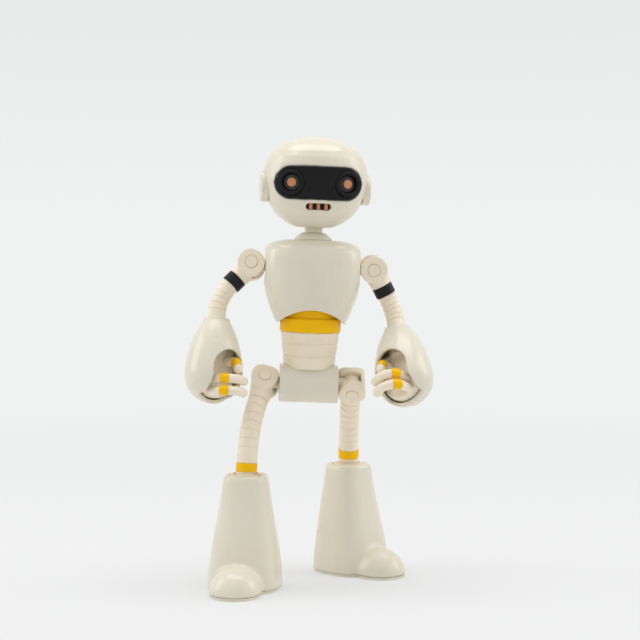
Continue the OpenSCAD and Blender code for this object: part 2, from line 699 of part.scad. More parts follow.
module limb_pin() { along_y() cylinder(r = pin_r, h = 2 * knuckle_t + 0.2, center = true); }
tube_peg_r = 1.5;

// A tube with grooves round it, bent toward +X; it starts at a depth below the pin
module bent_tube(r, radius, bend, depth, ribs) {
    groove = 0.4;
    groove_d = 0.25;
    groove_a = groove / radius * 180 / PI;
    rib_a = (bend - (ribs - 1) * groove_a) / ribs;
    translate([radius, 0, -depth]) rotate([-90, 0, 0]) {
        rotate([0, 0, 180 - bend]) rotate_extrude(angle = bend) translate([radius, 0]) circle(r - groove_d);
        for (k = [0:ribs - 1]) rotate([0, 0, 180 - (k + 1) * rib_a - k * groove_a])
            rotate_extrude(angle = rib_a) translate([radius, 0]) circle(r);
    }
    // A core that carries the bend into the straight part below it
    multmatrix(bend_end(radius, bend, depth)) translate([0, 0, -0.4]) cylinder(r = r * 0.7, h = 0.8);
}

// ---- arms ----
module shoulder_peg(i) { multmatrix(shoulder_m(i)) color(CREAM) sided(i) limb_peg(shoulder_x - boss_in + gap + peg_head_t); }
module shoulder_knuckle(i) {
    multmatrix(upper_arm_m(i)) color(CREAM) sided(i) difference() {
        limb_knuckle(upper_arm_l, arm_tube_r, 3.6);
        translate([0, 0, -upper_arm_l]) rotate_extrude()
            translate([arm_band_r - 0.8, -1]) square([5, arm_band_h + seam_gap + 1]);
    }
}
module shoulder_pin(i) { multmatrix(upper_arm_m(i)) color(CREAM) sided(i) limb_pin(); }
module arm_band(i) {
    multmatrix(upper_arm_m(i) * at([0, 0, -upper_arm_l])) color(BLACK) rotate_extrude()
        translate([arm_band_r - 0.8, seam_gap]) square([0.8, arm_band_h]);
}
wrist_peg_l = 4.6;
module arm_tube(i) {
    multmatrix(arm_m(i) * inward(i)) color(CREAM) {
        translate([0, 0, -upper_arm_l - 0.3]) cylinder(r = tube_peg_r, h = 3.9);
        bent_tube(arm_tube_r, arm_bend_radius, arm_bend, upper_arm_l, arm_ribs);
        multmatrix(bend_end(arm_bend_radius, arm_bend, upper_arm_l)) {
            translate([0, 0, -arm_cuff + seam_gap]) cylinder(r = arm_tube_r, h = arm_cuff - seam_gap);
            translate([0, 0, -arm_cuff - wrist_peg_l]) cylinder(r = tube_peg_r, h = arm_cuff / 2 + wrist_peg_l);
        }
    }
}

// ---- hands, in a frame with its origin where the tube meets the gauntlet ----
// The barrel's side is one arc from the top edge to the widest ring; below that ring it is a half ball
barrel_z = gauntlet_l - gauntlet_r;
barrel_x = (gauntlet_top_r * gauntlet_top_r + barrel_z * barrel_z - gauntlet_r * gauntlet_r)
    / (2 * (gauntlet_top_r - gauntlet_r));
barrel_r = gauntlet_r - barrel_x;
gauntlet_crown = 6;
cuff_seam_z = 7.4;
palm_r = gauntlet_r - gauntlet_wall - 0.35;
palm_face = 2.2;
palm_top = 9;
module barrel(wall, top) {
    rotate_extrude() {
        intersection() {
            translate([0, -barrel_z]) square([gauntlet_r + 1, barrel_z - top]);
            translate([barrel_x, -barrel_z]) circle(barrel_r - wall, $fn = 180);
        }
        intersection() {
            translate([0, -barrel_z - HUGE]) square([HUGE, HUGE]);
            translate([0, -barrel_z]) circle(gauntlet_r - wall, $fn = 96);
        }
    }
}
module gauntlet(i) {
    window_r = 5.6;
    window_top = 10.2;
    multmatrix(hand_m(i)) color(IVORY) difference() {
        union() {
            barrel(0, 0);
            translate([0, 0, -1.3]) cylinder(r = gauntlet_top_r + 0.5, h = 1.3);
        }
        barrel(gauntlet_wall, gauntlet_crown);
        translate([0, 0, -gauntlet_crown - 1]) cylinder(r = tube_peg_r + fit, h = gauntlet_crown + 2);
        translate([0, 0, -cuff_seam_z]) rotate_extrude()
            translate([barrel_x + sqrt(pow(barrel_r, 2) - pow(barrel_z - cuff_seam_z, 2)), 0]) circle(0.22, $fn = 16);
        rotate([90, 0, 0]) linear_extrude(HUGE) {
            translate([0, -window_top - window_r]) circle(window_r);
            translate([-window_r, -gauntlet_l - 1]) square([2 * window_r, gauntlet_l + 1 - window_top - window_r]);
        }
    }
}
module palm(i) {
    multmatrix(hand_m(i)) color(CREAM) difference() {
        union() {
            translate([0, 0, -palm_top - 1]) cylinder(r = 3.4, h = palm_top + 1 - gauntlet_crown - 0.2);
            intersection() {
                rotate_extrude() polygon([
                    [0, -palm_top], [palm_r * cos(30), -palm_top],
                    for (a = [30:20:90]) [palm_r * cos(a), -barrel_z - palm_r * sin(a)]
                ]);
                translate([-HUGE / 2, -palm_face, -HUGE]) cube(HUGE);
            }
        }
        translate([0, 0, -gauntlet_crown - 1]) cylinder(r = tube_peg_r + 2 * fit, h = 2);
    }
}
// A finger starts on the palm's face, runs forward and curls inward round the grip
grip_x = 1.3;
grip_y = 5.6;
grip_r = 4.1;
finger_z = [19.2, 22.8];
finger_curl = 120;
finger_tip_l = 1.8;
ring_start = 18;
ring_span = 30;
module finger_arc(r, from, span) {
    translate([grip_x, -grip_y, 0]) rotate([0, 0, 180 + from]) rotate_extrude(angle = span)
        translate([grip_r, 0]) circle(r, $fn = 32);
}
module finger() {
    translate([grip_x - grip_r, -grip_y, 0]) rotate([-90, 0, 0]) {
        cylinder(r = finger_r, h = grip_y - palm_face, $fn = 32);
        translate([0, 0, -0.4]) cylinder(r = finger_r / 2, h = 0.8, $fn = 32);
    }
    finger_arc(finger_r, 0, finger_curl);
    translate([grip_x, -grip_y, 0]) rotate([0, 0, 180 + finger_curl]) translate([grip_r, 0, 0]) {
        rotate([-90, 0, 0]) cylinder(r = finger_r, h = finger_tip_l, $fn = 32);
        rotate([-90, 0, 0]) translate([0, 0, -0.4]) cylinder(r = finger_r / 2, h = 0.8, $fn = 32);
        translate([0, finger_tip_l, 0]) sphere(finger_r, $fn = 32);
    }
}
thumb_x = 2.9;
thumb_z = 13.2;
thumb_r = 2.6;
thumb_y = 5;
thumb_curl = 90;
module thumb_arc(r, from, span) {
    translate([thumb_x, -thumb_y, -thumb_z - thumb_r]) rotate([90, 0, -90]) rotate([0, 0, 90 - from - span])
        rotate_extrude(angle = span) translate([thumb_r, 0]) circle(r, $fn = 32);
}
module thumb() {
    translate([thumb_x, -thumb_y, -thumb_z]) rotate([-90, 0, 0]) {
        cylinder(r = finger_r, h = thumb_y - palm_face, $fn = 32);
        translate([0, 0, -0.4]) cylinder(r = finger_r / 2, h = 0.8, $fn = 32);
    }
    thumb_arc(finger_r, 0, thumb_curl);
    translate([thumb_x, -thumb_y - thumb_r, -thumb_z - thumb_r]) sphere(finger_r, $fn = 32);
}
module ring_arcs(grow) {
    for (z = finger_z) translate([0, 0, -z]) finger_arc(finger_r + grow, ring_start, ring_span);
    thumb_arc(finger_r + grow, 25, 40);
}
module fingers(i) {
    multmatrix(hand_m(i)) color(CREAM) sided(1 - i) difference() {
        union() {
            for (z = finger_z) translate([0, 0, -z]) finger();
            thumb();
        }
        difference() {
            ring_arcs(finger_ring_out + 0.01);
            ring_arcs(-0.4);
        }
    }
}
module finger_rings(i) {
    multmatrix(hand_m(i)) color(YELLOW) sided(1 - i) difference() {
        ring_arcs(finger_ring_out);
        ring_arcs(-0.4);
    }
}

// ---- legs ----
module hip_peg(i) { multmatrix(hip_m(i)) color(CREAM) sided(i) limb_peg(hip_x - hip_head_x); }
module hip_knuckle(i) { multmatrix(thigh_m(i)) color(CREAM) sided(i) limb_knuckle(thigh_l, leg_tube_r, 4); }
module hip_pin(i) { multmatrix(thigh_m(i)) color(CREAM) sided(i) limb_pin(); }
leg_peg_l = 3;
module leg_tube(i) {
    multmatrix(leg_m(i)) color(CREAM) {
        translate([0, 0, -thigh_l - 0.3]) cylinder(r = tube_peg_r, h = leg_peg_l + 0.3);
        bent_tube(leg_tube_r, leg_bend_radius, leg_bend, thigh_l, leg_ribs);
        multmatrix(bend_end(leg_bend_radius, leg_bend, thigh_l)) difference() {
            union() {
                translate([0, 0, -shin_l]) cylinder(r = leg_tube_r, h = shin_l);
                translate([0, 0, -shin_l]) sphere(leg_tube_r);
            }
            translate([0, 0, -shin_l]) ball_bore();
            leg_band_ring(i, 1);
        }
    }
}
// The yellow band sits in a groove round the tube
module leg_band_ring(i, more) {
    translate([0, 0, -shin_l + leg_band_z[i]]) rotate_extrude() translate([leg_tube_r - 0.5, 0])
        square([0.5 + leg_band_out + more, leg_band_h]);
}
module leg_band(i) {
    multmatrix(leg_m(i) * bend_end(leg_bend_radius, leg_bend, thigh_l)) color(YELLOW) leg_band_ring(i, 0);
}
ankle_range = 20;
ankle_peg_l = 4.5;
module ankle_cup(i) {
    multmatrix(cup_m(i)) color(CREAM) ball_cup(cup_r, leg_tube_r, leg_tube_r, ankle_range + 4, ankle_peg_l);
}
module ankle_pin(i) { multmatrix(cup_m(i)) color(GREY) ball_pin(cup_r); }

// ---- boots, in a frame on the floor under the ankle, with the toe toward -Y ----
boot_power = 2.9;
boot_rows = [
    [sole_t, boot_w, boot_d, -1.2],
    [boot_h * 0.20, boot_w * 0.965, boot_d * 0.95, -1],
    [boot_h * 0.42, boot_w * 0.87, boot_d * 0.85, -0.6],
    [boot_h * 0.65, boot_w * 0.745, boot_d * 0.73, -0.2],
    [boot_h * 0.86, boot_w * 0.645, boot_d * 0.63, 0],
    [boot_h * 0.96, boot_top_w * 1.1, boot_top_w * 1.08, 0],
    [boot_h, boot_top_w, boot_top_w, 0]
];
boot_hollow_top = boot_h * 0.62;
boot_hollow_rows = [
    for (k = [0:3])
        let (st = boot_rows[k])
        [k == 0 ? 0 : min(st[0], boot_hollow_top), st[1] - boot_wall, st[2] - boot_wall, st[3]]
];
module boot_form() { loft(blend(boot_rows, 2), 0, boot_power, 36); }
module boot_shell(i) {
    cup_floor_z = ankle_z - leg_tube_r - cup_floor;
    multmatrix(boot_m(i)) color(IVORY) difference() {
        boot_form();
        loft(boot_hollow_rows, 0, boot_power, 32);
        translate([0, 0, cup_floor_z - gap]) cylinder(r = cup_r + fit, h = 20);
        translate([0, 0, cup_floor_z - ankle_peg_l - 1]) cylinder(r = peg_r + fit, h = 20);
    }
}
module toe_cap(i) {
    multmatrix(boot_m(i)) color(IVORY) difference() {
        intersection() {
            translate([0, -toe_y, sole_t]) rotate([0, 0, -90]) sphere(toe_r, $fn = 96);
            translate([-HUGE / 2, -HUGE, sole_t]) cube(HUGE);
        }
        boot_form();
    }
}
module sole(i) {
    inset = 0.4;
    multmatrix(boot_m(i)) color(GREY) linear_extrude(sole_t) {
        polygon([for (p = ring(boot_rows[0], -inset, boot_power, 36)) [p[0], p[1]]]);
        translate([0, -toe_y]) circle(toe_r - inset);
    }
}

// ---- drawing ----
head_front_shell();
head_rear_shell();
visor();
eye_rings();
eye_lenses();
mouth_insert();
mouth_bars();
ear_cap(0);  // right_ear_cap
ear_cap(1);  // left_ear_cap
neck_socket();
neck_pin();
neck_post();
neck_collar();
chest_front_shell();
chest_back_shell();
waist_ring();
waist_peg();
abdomen();
pelvis_front_shell();
pelvis_rear_shell();
shoulder_peg(0);  // right_shoulder_peg
shoulder_knuckle(0);  // right_shoulder_knuckle
shoulder_pin(0);  // right_shoulder_pin
arm_band(0);  // right_arm_band
arm_tube(0);  // right_arm_tube
gauntlet(0);  // right_gauntlet
palm(0);  // right_palm
fingers(0);  // right_fingers
finger_rings(0);  // right_finger_rings
shoulder_peg(1);  // left_shoulder_peg
shoulder_knuckle(1);  // left_shoulder_knuckle
shoulder_pin(1);  // left_shoulder_pin
arm_band(1);  // left_arm_band
arm_tube(1);  // left_arm_tube
gauntlet(1);  // left_gauntlet
palm(1);  // left_palm
fingers(1);  // left_fingers
finger_rings(1);  // left_finger_rings
hip_peg(0);  // right_hip_peg
hip_knuckle(0);  // right_hip_knuckle
hip_pin(0);  // right_hip_pin
leg_tube(0);  // right_leg_tube
leg_band(0);  // right_leg_band
ankle_cup(0);  // right_ankle_cup
ankle_pin(0);  // right_ankle_pin
boot_shell(0);  // right_boot_shell
toe_cap(0);  // right_toe_cap
sole(0);  // right_sole
hip_peg(1);  // left_hip_peg
hip_knuckle(1);  // left_hip_knuckle
hip_pin(1);  // left_hip_pin
leg_tube(1);  // left_leg_tube
leg_band(1);  // left_leg_band
ankle_cup(1);  // left_ankle_cup
ankle_pin(1);  // left_ankle_pin
boot_shell(1);  // left_boot_shell
toe_cap(1);  // left_toe_cap
sole(1);  // left_sole
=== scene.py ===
import json
import math

import bmesh
import bpy
import numpy as np
from mathutils import Matrix, Vector
from mathutils.bvhtree import BVHTree


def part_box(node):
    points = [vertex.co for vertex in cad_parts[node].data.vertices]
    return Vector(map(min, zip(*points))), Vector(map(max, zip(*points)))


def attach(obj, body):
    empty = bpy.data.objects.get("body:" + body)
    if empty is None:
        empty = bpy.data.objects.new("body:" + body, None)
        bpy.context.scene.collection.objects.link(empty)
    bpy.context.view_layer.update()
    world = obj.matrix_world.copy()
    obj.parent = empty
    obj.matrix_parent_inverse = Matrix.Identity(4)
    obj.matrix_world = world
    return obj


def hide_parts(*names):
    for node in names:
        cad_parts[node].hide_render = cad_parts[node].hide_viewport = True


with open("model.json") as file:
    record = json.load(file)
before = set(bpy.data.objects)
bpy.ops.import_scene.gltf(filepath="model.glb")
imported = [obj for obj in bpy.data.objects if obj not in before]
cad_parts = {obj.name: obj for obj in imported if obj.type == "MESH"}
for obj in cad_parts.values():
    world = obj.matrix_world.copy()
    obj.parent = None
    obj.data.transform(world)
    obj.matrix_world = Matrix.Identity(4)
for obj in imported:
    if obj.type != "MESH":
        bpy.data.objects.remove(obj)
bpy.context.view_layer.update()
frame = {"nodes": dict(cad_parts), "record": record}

MM = 0.001
NODES = frame["nodes"]
SIDES = ("right", "left")
RECORD_SLOTS = {part["node"]: part["material_slot"] for part in frame["record"]["subparts"]}


def linear(hex_colour):
    """An sRGB hex colour such as #efece2 as Blender's linear RGBA."""
    parts = [int(hex_colour[i:i + 2], 16) / 255 for i in (1, 3, 5)]
    return [c / 12.92 if c <= 0.04045 else ((c + 0.055) / 1.055) ** 2.4 for c in parts] + [1.0]


# ---- camera: level with the robot's neck, half a metre away, looking slightly down ----
CAMERA_FROM_PELVIS = Vector((3.5, -500, 105)) * MM
CAMERA_PITCH = -2.82
FOCAL_PIXELS = 1625
PHOTO_PIXELS = 640
SENSOR = 36

pelvis_low, pelvis_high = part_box("pelvis_front_shell")
pelvis_x = (pelvis_low.x + pelvis_high.x) / 2
pelvis_y = pelvis_high.y
camera_data = bpy.data.cameras.new("photo_camera")
camera_data.sensor_width = SENSOR
camera_data.lens = SENSOR * FOCAL_PIXELS / PHOTO_PIXELS
camera_data.clip_start = 10 * MM
camera = bpy.data.objects.new("photo_camera", camera_data)
camera.location = (pelvis_x + CAMERA_FROM_PELVIS.x, pelvis_y + CAMERA_FROM_PELVIS.y, CAMERA_FROM_PELVIS.z)
camera.rotation_euler = (math.radians(90 + CAMERA_PITCH), 0, 0)
bpy.context.scene.collection.objects.link(camera)
bpy.context.scene.camera = camera


# ---- materials ----
def add_node(tree, kind, inputs=None, **settings):
    """Adds a shader node with its settings; an input is a value, or (node, output name) for a link."""
    made = tree.nodes.new(kind)
    for name, value in settings.items():
        setattr(made, name, value)
    for name, value in (inputs or {}).items():
        socket = made.inputs[name]
        if isinstance(value, tuple) and isinstance(value[0], bpy.types.Node):
            tree.links.new(value[0].outputs[value[1]], socket)
        else:
            socket.default_value = value
    return made


def new_material(name):
    """An empty material and its node tree."""
    material = bpy.data.materials.new(name)
    material.use_nodes = True
    material.node_tree.nodes.clear()
    return material, material.node_tree


PLASTIC_IOR = 1.53
CLOUD_MM = 9
POLISH_MM = 5
GLOSS_LOW = 0.82
GLOSS_HIGH = 1.2
CLEAR_COAT_ROUGHNESS = 0.08
SKIN_LIGHT_MM = 1.2


def moulded_plastic(name, colour, shade, roughness, grain_mm, grain_depth_mm, coat=0.0, subsurface=0.0,
                    sheen_level=0.5):
    """Injection-moulded plastic: an almost even colour with faint clouds in it, gloss that varies where the mould
    was polished by hand, and a fine skin texture."""
    material, tree = new_material(name)
    place = add_node(tree, "ShaderNodeTexCoord")
    # Clouds of pigment
    cloud = add_node(tree, "ShaderNodeTexNoise", {"Vector": (place, "Object"), "Scale": 1 / (CLOUD_MM * MM),
                                                  "Detail": 3.0, "Roughness": 0.55})
    tint = add_node(tree, "ShaderNodeMix", {"Factor": (cloud, "Fac"), "A": linear(colour), "B": linear(shade)},
                    data_type="RGBA")
    # Polish of the mould
    polish = add_node(tree, "ShaderNodeTexNoise", {"Vector": (place, "Object"), "Scale": 1 / (POLISH_MM * MM),
                                                   "Detail": 2.0})
    gloss = add_node(tree, "ShaderNodeMapRange", {"Value": (polish, "Fac"), "To Min": roughness * GLOSS_LOW,
                                                  "To Max": roughness * GLOSS_HIGH})
    # Skin texture left by the mould
    grain = add_node(tree, "ShaderNodeTexNoise", {"Vector": (place, "Object"), "Scale": 1 / (grain_mm * MM),
                                                  "Detail": 4.0})
    bump = add_node(tree, "ShaderNodeBump", {"Height": (grain, "Fac"), "Distance": grain_depth_mm * MM,
                                             "Strength": 1.0})
    skin = add_node(tree, "ShaderNodeBsdfPrincipled", {
        "Base Color": (tint, "Result"), "Roughness": (gloss, "Result"), "Normal": (bump, "Normal"),
        "IOR": PLASTIC_IOR,
        "Specular IOR Level": sheen_level, "Coat Weight": coat, "Coat Roughness": CLEAR_COAT_ROUGHNESS,
        "Subsurface Weight": subsurface, "Subsurface Scale": SKIN_LIGHT_MM * MM})
    add_node(tree, "ShaderNodeOutputMaterial", {"Surface": (skin, "BSDF")})
    return material


TARNISH_MM = 1.5
TURNING_DEPTH_MM = 0.004


def turned_steel(name, colour, shade, roughness, line_mm):
    """Steel pin stock: metal with the fine rings that turning leaves, and a little tarnish."""
    material, tree = new_material(name)
    place = add_node(tree, "ShaderNodeTexCoord")
    tarnish = add_node(tree, "ShaderNodeTexNoise", {"Vector": (place, "Object"), "Scale": 1 / (TARNISH_MM * MM),
                                                    "Detail": 3.0})
    tint = add_node(tree, "ShaderNodeMix", {"Factor": (tarnish, "Fac"), "A": linear(colour), "B": linear(shade)},
                    data_type="RGBA")
    rings = add_node(tree, "ShaderNodeTexWave", {"Vector": (place, "Object"), "Scale": 1 / (line_mm * MM),
                                                 "Distortion": 2.0}, wave_type="RINGS")
    bump = add_node(tree, "ShaderNodeBump", {"Height": (rings, "Fac"), "Distance": TURNING_DEPTH_MM * MM})
    metal = add_node(tree, "ShaderNodeBsdfPrincipled", {
        "Base Color": (tint, "Result"), "Metallic": 1.0, "Roughness": roughness, "Normal": (bump, "Normal")})
    add_node(tree, "ShaderNodeOutputMaterial", {"Surface": (metal, "BSDF")})
    return material


# ABS polished in the mould: even, warm white, with the clear reflections of a polished shell
ivory_abs = moulded_plastic("ivory_polished_abs", "#eae4d2", "#e4dcc8", 0.2, 0.7, 0.003, subsurface=0.05)
# Softer plastic of the jointed limbs: warmer and pinker than the shells, satin, with a light grain
cream_pvc = moulded_plastic("cream_satin_pvc", "#f8edd8", "#f2e5cd", 0.4, 0.4, 0.006, subsurface=0.06)
# Sprayed enamel in a groove: strong yellow, half gloss, a little orange peel
yellow_enamel = moulded_plastic("yellow_sprayed_enamel", "#ffc800", "#fcc000", 0.36, 0.5, 0.008,
                                sheen_level=0.15)
# Brushed-on black: not quite black, half matt, a little uneven in tone and surface
black_enamel = moulded_plastic("black_brushed_enamel", "#121113", "#1d1b1e", 0.4, 0.5, 0.01,
                               sheen_level=0.2)
# Visor moulded in black and polished: deep, with small sharp reflections
visor_abs = moulded_plastic("black_polished_abs", "#070607", "#0c0b0c", 0.16, 1.0, 0.002,
                            sheen_level=0.2)
# Turned eye rings and the mouth's back: black with a fine dull grain
dull_black_abs = moulded_plastic("black_grained_abs", "#0d0c0e", "#151416", 0.42, 0.3, 0.01,
                                 sheen_level=0.2)
# Tinted acrylic, drawn as an opaque amber with a clear coat; the mouth's bars wear it as well
amber_acrylic = moulded_plastic("amber_tinted_acrylic", "#d08a55", "#c67c46", 0.16, 0.8, 0.002, coat=0.4)
# Smoked acrylic, drawn as an opaque brown-black with a sharp gloss
smoked_acrylic = moulded_plastic("smoked_acrylic", "#140e0c", "#1b1411", 0.12, 0.8, 0.002,
                                 sheen_level=0.4)
# Steel pins and screws: grey metal with fine rings
pin_steel = turned_steel("turned_steel_pin", "#b9b6ae", "#a19d95", 0.32, 0.12)

FINISH = {"ivory_shell": ivory_abs, "cream_limb": cream_pvc, "yellow_trim": yellow_enamel,
          "black_trim": dull_black_abs, "visor_black": visor_abs, "amber_lens": amber_acrylic,
          "steel_pin": pin_steel, "sole": ivory_abs}
for node_name, slot_name in RECORD_SLOTS.items():
    mesh = NODES[node_name].data
    mesh.materials.clear()
    mesh.materials.append(FINISH[slot_name])
for limb in SIDES:
    NODES[limb + "_arm_band"].data.materials[0] = black_enamel


# ---- carried-over solids: welded, with the soft edges that a mould leaves ----
WELD_MM = 0.002
CRISP_ANGLE = 32
SCREW_EDGE_ANGLE = 40


def soft_moulding(solid, voxel_mm, passes):
    """Rounds every edge of a solid: it is rebuilt from small cells and relaxed a few times."""
    cells = solid.modifiers.new("soft_edges", "REMESH")
    cells.mode = "VOXEL"
    cells.voxel_size = voxel_mm * MM
    cells.use_smooth_shade = True
    relax = solid.modifiers.new("relaxed", "SMOOTH")
    relax.factor = 0.5
    relax.iterations = passes


def crisp_edges(solid, angle=CRISP_ANGLE):
    """Keeps a turned or cut edge sharp, and shades the rest smooth."""
    split = solid.modifiers.new("edges", "EDGE_SPLIT")
    split.split_angle = math.radians(angle)


# Cell size in millimetres and smoothing passes of each rounded node
SOFT = {"head_front_shell": (0.3, 5), "head_rear_shell": (0.3, 5), "chest_front_shell": (0.32, 5),
        "chest_back_shell": (0.32, 5), "pelvis_front_shell": (0.28, 5), "pelvis_rear_shell": (0.28, 5),
        "visor": (0.22, 4), "abdomen": (0.13, 1), "neck_collar": (0.2, 4)}
for limb in SIDES:
    SOFT[limb + "_gauntlet"] = (0.28, 6)
    SOFT[limb + "_palm"] = (0.28, 4)
    SOFT[limb + "_fingers"] = (0.14, 3)
    SOFT[limb + "_arm_tube"] = (0.12, 1)
    SOFT[limb + "_leg_tube"] = (0.12, 1)
    SOFT[limb + "_shoulder_knuckle"] = (0.18, 4)
    SOFT[limb + "_hip_knuckle"] = (0.18, 4)
for name, solid in NODES.items():
    for face in solid.data.polygons:
        face.use_smooth = True
    weld = solid.modifiers.new("weld", "WELD")
    weld.merge_threshold = WELD_MM * MM
    if name in SOFT:
        soft_moulding(solid, *SOFT[name])
    else:
        crisp_edges(solid)


# ---- new pieces ----
def new_piece(name, build, body, materials, replaced=()):
    """A piece from a function that fills a bmesh, riding on its body."""
    work = bmesh.new()
    build(work)
    bmesh.ops.recalc_face_normals(work, faces=work.faces[:])
    mesh = bpy.data.meshes.new(name)
    work.to_mesh(mesh)
    work.free()
    for face in mesh.polygons:
        face.use_smooth = True
    for material in materials:
        mesh.materials.append(material)
    piece = bpy.data.objects.new(name, mesh)
    bpy.context.scene.collection.objects.link(piece)
    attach(piece, body)
    if replaced:
        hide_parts(*replaced)
    return piece


def turned(work, profile, place, steps=64, finish_at=None):
    """A turned form: a profile of (radius, height) spun about the local Z axis of a place matrix. finish_at gives
    the material number from the middle radius of a face."""
    rings = []
    for radius, height in profile:
        if radius < 1e-9:
            rings.append([work.verts.new(place @ Vector((0, 0, height)))])
        else:
            rings.append([work.verts.new(place @ Vector((radius * math.cos(2 * math.pi * k / steps),
                                                         radius * math.sin(2 * math.pi * k / steps), height)))
                          for k in range(steps)])
    for low, high, (r0, _), (r1, _) in zip(rings, rings[1:], profile, profile[1:]):
        number = finish_at((r0 + r1) / 2) if finish_at else 0
        for k in range(steps):
            corners = [low[k % len(low)], low[(k + 1) % len(low)], high[(k + 1) % len(high)], high[k % len(high)]]
            face = work.faces.new(list(dict.fromkeys(corners)))
            face.material_index = number


def axis_place(middle, direction):
    """A matrix at a point whose Z axis runs along a direction."""
    return Matrix.Translation(middle) @ Vector(direction).to_track_quat("Z", "Y").to_matrix().to_4x4()


# Eyes: a smoked dome with an amber middle, in the place of the plain lenses
LENS_R = 2.7 * MM
IRIS_R = 1.35 * MM
DOME_BACK = 2.0 * MM
DOME_EDGE = 0.62 * MM
EDGE_ROUND = 0.1 * MM
DOME_FRONT = 0.5 * MM
DOME_FALL = 0.075
DOME_RADII = (2.35, 2.05, 1.75, 1.5)
STEP_R = 1.43 * MM
STEP_DEPTH = 0.26 * MM
IRIS_SINK = 0.02 * MM
IRIS_FALL = 0.06
IRIS_RADII = (1.27, 1.0, 0.7, 0.35)
EYE_STEPS = 64


def eye_domes(work):
    """Both eyes' domes, each set on the middle and along the axis of its lens solid."""
    corners = np.array([v.co for v in NODES["eye_lenses"].data.vertices])
    middle_x = corners[:, 0].mean()
    for half in (corners[corners[:, 0] < middle_x], corners[corners[:, 0] > middle_x]):
        middle = half.mean(axis=0)
        axis = np.linalg.eigh(np.cov((half - middle).T))[1][:, 0]
        if axis[1] > 0:
            axis = -axis
        along = (half - middle) @ axis
        top = along.max()
        place = axis_place(Vector(middle) + Vector(axis) * float(top), axis)
        dome = [(LENS_R, -DOME_BACK), (LENS_R, -DOME_EDGE), (LENS_R - EDGE_ROUND, -DOME_FRONT)]
        dome += [(r * MM, -DOME_FALL * (r ** 2) * MM) for r in DOME_RADII]
        dome += [(STEP_R, -STEP_DEPTH), (IRIS_R, -STEP_DEPTH)]
        dome += [(r * MM, -IRIS_SINK - IRIS_FALL * (r ** 2) * MM) for r in IRIS_RADII]
        dome += [(0.0, -IRIS_SINK)]
        turned(work, dome, place, EYE_STEPS, lambda r: 1 if r < IRIS_R + 0.01 * MM else 0)


new_piece("eye_lens_pair", eye_domes, "head", [smoked_acrylic, amber_acrylic], ["eye_lenses"])


# Boots: the shaft and the toe cap are drawn as one moulding, with a soft hollow where they meet
TOE_MELD = 2.6 * MM
MELD_FADE = 1.2 * MM
BOOT_CELL = 0.34 * MM
MELD_PASSES = 60
ALL_OVER_PASSES = 4
RELAX_SHARE = 0.5
SOLE_LIFT = 0.02 * MM
SOLE_RIM = 0.1 * MM


def relaxed_cells(source, cell, passes, region=None):
    """The evaluated cells of a closed form, relaxed; region gives how much each point may move."""
    holder = bpy.data.objects.new("cells", source)
    bpy.context.scene.collection.objects.link(holder)
    remesh = holder.modifiers.new("cells", "REMESH")
    remesh.mode = "VOXEL"
    remesh.voxel_size = cell
    graph = bpy.context.evaluated_depsgraph_get()
    mesh = bpy.data.meshes.new_from_object(holder.evaluated_get(graph))
    bpy.data.objects.remove(holder)
    points = np.empty(len(mesh.vertices) * 3)
    mesh.vertices.foreach_get("co", points)
    points = points.reshape(-1, 3)
    ends = np.empty(len(mesh.edges) * 2, dtype=int)
    mesh.edges.foreach_get("vertices", ends)
    a, b = ends.reshape(-1, 2).T
    neighbours = np.bincount(a, minlength=len(points)) + np.bincount(b, minlength=len(points))
    for step in range(passes):
        total = np.stack([np.bincount(a, points[b, c], len(points)) + np.bincount(b, points[a, c], len(points))
                          for c in range(3)], axis=1)
        middle = total / neighbours[:, None]
        everywhere = region is None or step < ALL_OVER_PASSES
        share = RELAX_SHARE if everywhere else RELAX_SHARE * region(points)[:, None]
        points = points + (middle - points) * share
    mesh.vertices.foreach_set("co", points.ravel())
    mesh.update()
    return mesh


for limb in SIDES:
    shaft = NODES[limb + "_boot_shell"].data
    cap = np.array([v.co for v in NODES[limb + "_toe_cap"].data.vertices])
    peak = cap[cap[:, 2].argmax()]
    sole_top = cap[:, 2].min()
    toe_radius = peak[2] - sole_top
    toe_middle = Vector((peak[0], peak[1], sole_top))
    work = bmesh.new()
    work.from_mesh(shaft)
    dome = bmesh.ops.create_uvsphere(work, u_segments=96, v_segments=64, radius=toe_radius,
                                     matrix=Matrix.Translation(toe_middle))
    ball = dome["verts"] + list({e for v in dome["verts"] for e in v.link_edges})
    ball += list({f for v in dome["verts"] for f in v.link_faces})
    bmesh.ops.bisect_plane(work, geom=ball, plane_co=(0, 0, sole_top + SOLE_LIFT), plane_no=(0, 0, 1),
                           clear_inner=True)
    rim = [e for e in work.edges if e.is_boundary and all(abs(v.co.z - sole_top) < SOLE_RIM for v in e.verts)]
    bmesh.ops.holes_fill(work, edges=rim, sides=0)
    joined = bpy.data.meshes.new(limb + "_boot_form")
    work.to_mesh(joined)
    work.free()

    def near_meld(points, middle=np.array(toe_middle), radius=toe_radius):
        """How near a point is to the line where the toe meets the shaft, above the sole."""
        off_sphere = abs(np.linalg.norm(points - middle, axis=1) - radius)
        near = np.clip(1 - off_sphere / TOE_MELD, 0, 1)
        lifted = np.clip((points[:, 2] - middle[2]) / MELD_FADE, 0, 1)
        return near * lifted

    moulding = relaxed_cells(joined, BOOT_CELL, MELD_PASSES, near_meld)
    moulding.name = limb + "_boot_moulding"
    for face in moulding.polygons:
        face.use_smooth = True
    moulding.materials.clear()
    moulding.materials.append(ivory_abs)
    boot = bpy.data.objects.new(limb + "_boot_moulding", moulding)
    bpy.context.scene.collection.objects.link(boot)
    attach(boot, limb + "_boot")
    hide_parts(limb + "_boot_shell", limb + "_toe_cap")


